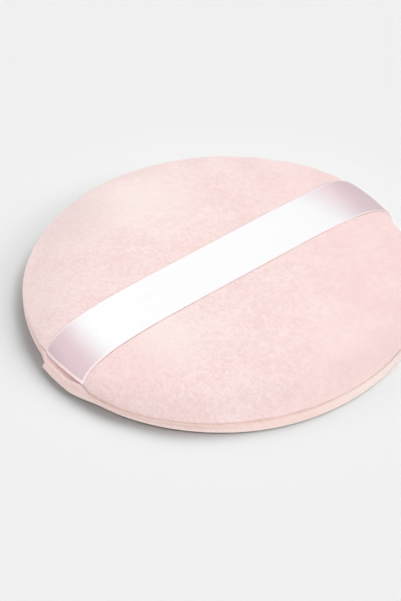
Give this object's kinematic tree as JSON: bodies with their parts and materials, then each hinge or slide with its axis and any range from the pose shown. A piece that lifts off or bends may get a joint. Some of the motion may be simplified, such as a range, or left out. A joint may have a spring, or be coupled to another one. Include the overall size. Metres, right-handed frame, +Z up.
{
  "type": "powder puff",
  "caption": "Flat round velour powder puff with a domed top, a sewn groove low on its rim and a satin finger ribbon across it, for pressing powder onto the skin.",
  "frame": {"origin": "centre of the flat base, on the surface that the puff lies on", "axes": "+Z up out of the domed top, +X along the ribbon"},
  "size_m": [0.0872, 0.0844, 0.0091],
  "materials": {
    "velour": "short soft pile, matte with a faint sheen",
    "satin": "smooth satin weave with a soft gloss",
    "sponge": "open-cell sponge, matte",
    "thread": "spun sewing thread, matte"
  },
  "bodies": {
    "root": {"top_cover": "velour", "bottom_cover": "velour", "foam_core": "sponge", "ribbon": "satin", "seam_thread": "thread"}
  },
  "joints": []
}
